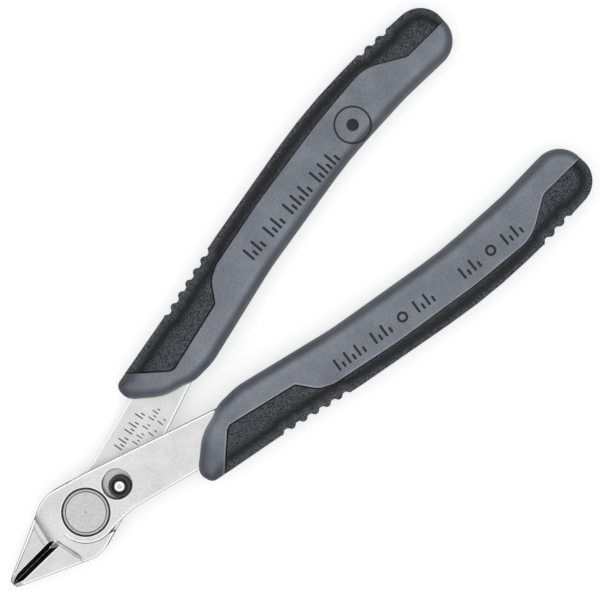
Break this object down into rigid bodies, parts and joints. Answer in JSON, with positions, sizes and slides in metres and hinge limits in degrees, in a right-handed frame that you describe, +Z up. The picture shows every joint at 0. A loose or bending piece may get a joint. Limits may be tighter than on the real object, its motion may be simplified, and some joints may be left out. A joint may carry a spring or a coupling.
{
  "type": "flush cutter",
  "caption": "Small flush cutter for electronics work: lapped steel jaws with a bevelled V, riveted joint with an opening stop, and slim soft-backed grips.",
  "frame": {"origin": "on the pivot axis, at the parting plane between the two halves", "axes": "+Y towards the tip of the jaws, +Z up, out of the side with the bevelled cutting edges; the cutter lies flat and closed"},
  "size_m": [0.0472, 0.125, 0.0094],
  "materials": {
    "steel": "fine satin, blasted and polished tool steel",
    "joint_steel": "turned and ground steel of the rivet, rings and pin",
    "spring_steel": "drawn spring wire",
    "sleeve": "black, semi-gloss",
    "grip_grey": "grey, smooth satin",
    "grip_black": "black, finely grained soft plastic"
  },
  "bodies": {
    "rear": {"rear_half": "steel", "pivot_rivet": "joint_steel", "rivet_cap": "joint_steel", "rear_ring": "joint_steel", "stop_pin": "joint_steel", "stop_sleeve": "sleeve", "return_spring": "spring_steel", "rear_grip_body": "grip_grey", "rear_grip_pad": "grip_black"},
    "front": {"front_half": "steel", "front_ring": "joint_steel", "front_grip_body": "grip_grey", "front_grip_pad": "grip_black"}
  },
  "joints": [
    {"name": "cutter_pivot", "type": "hinge", "parent": "rear", "child": "front", "pos_m": [0, 0, 0], "axis": [0, 0, -1], "range_deg": [0, 9.5], "stiffness_Nm_per_rad": 1.15, "springref_deg": 20, "deforming": ["return_spring"]}
  ]
}
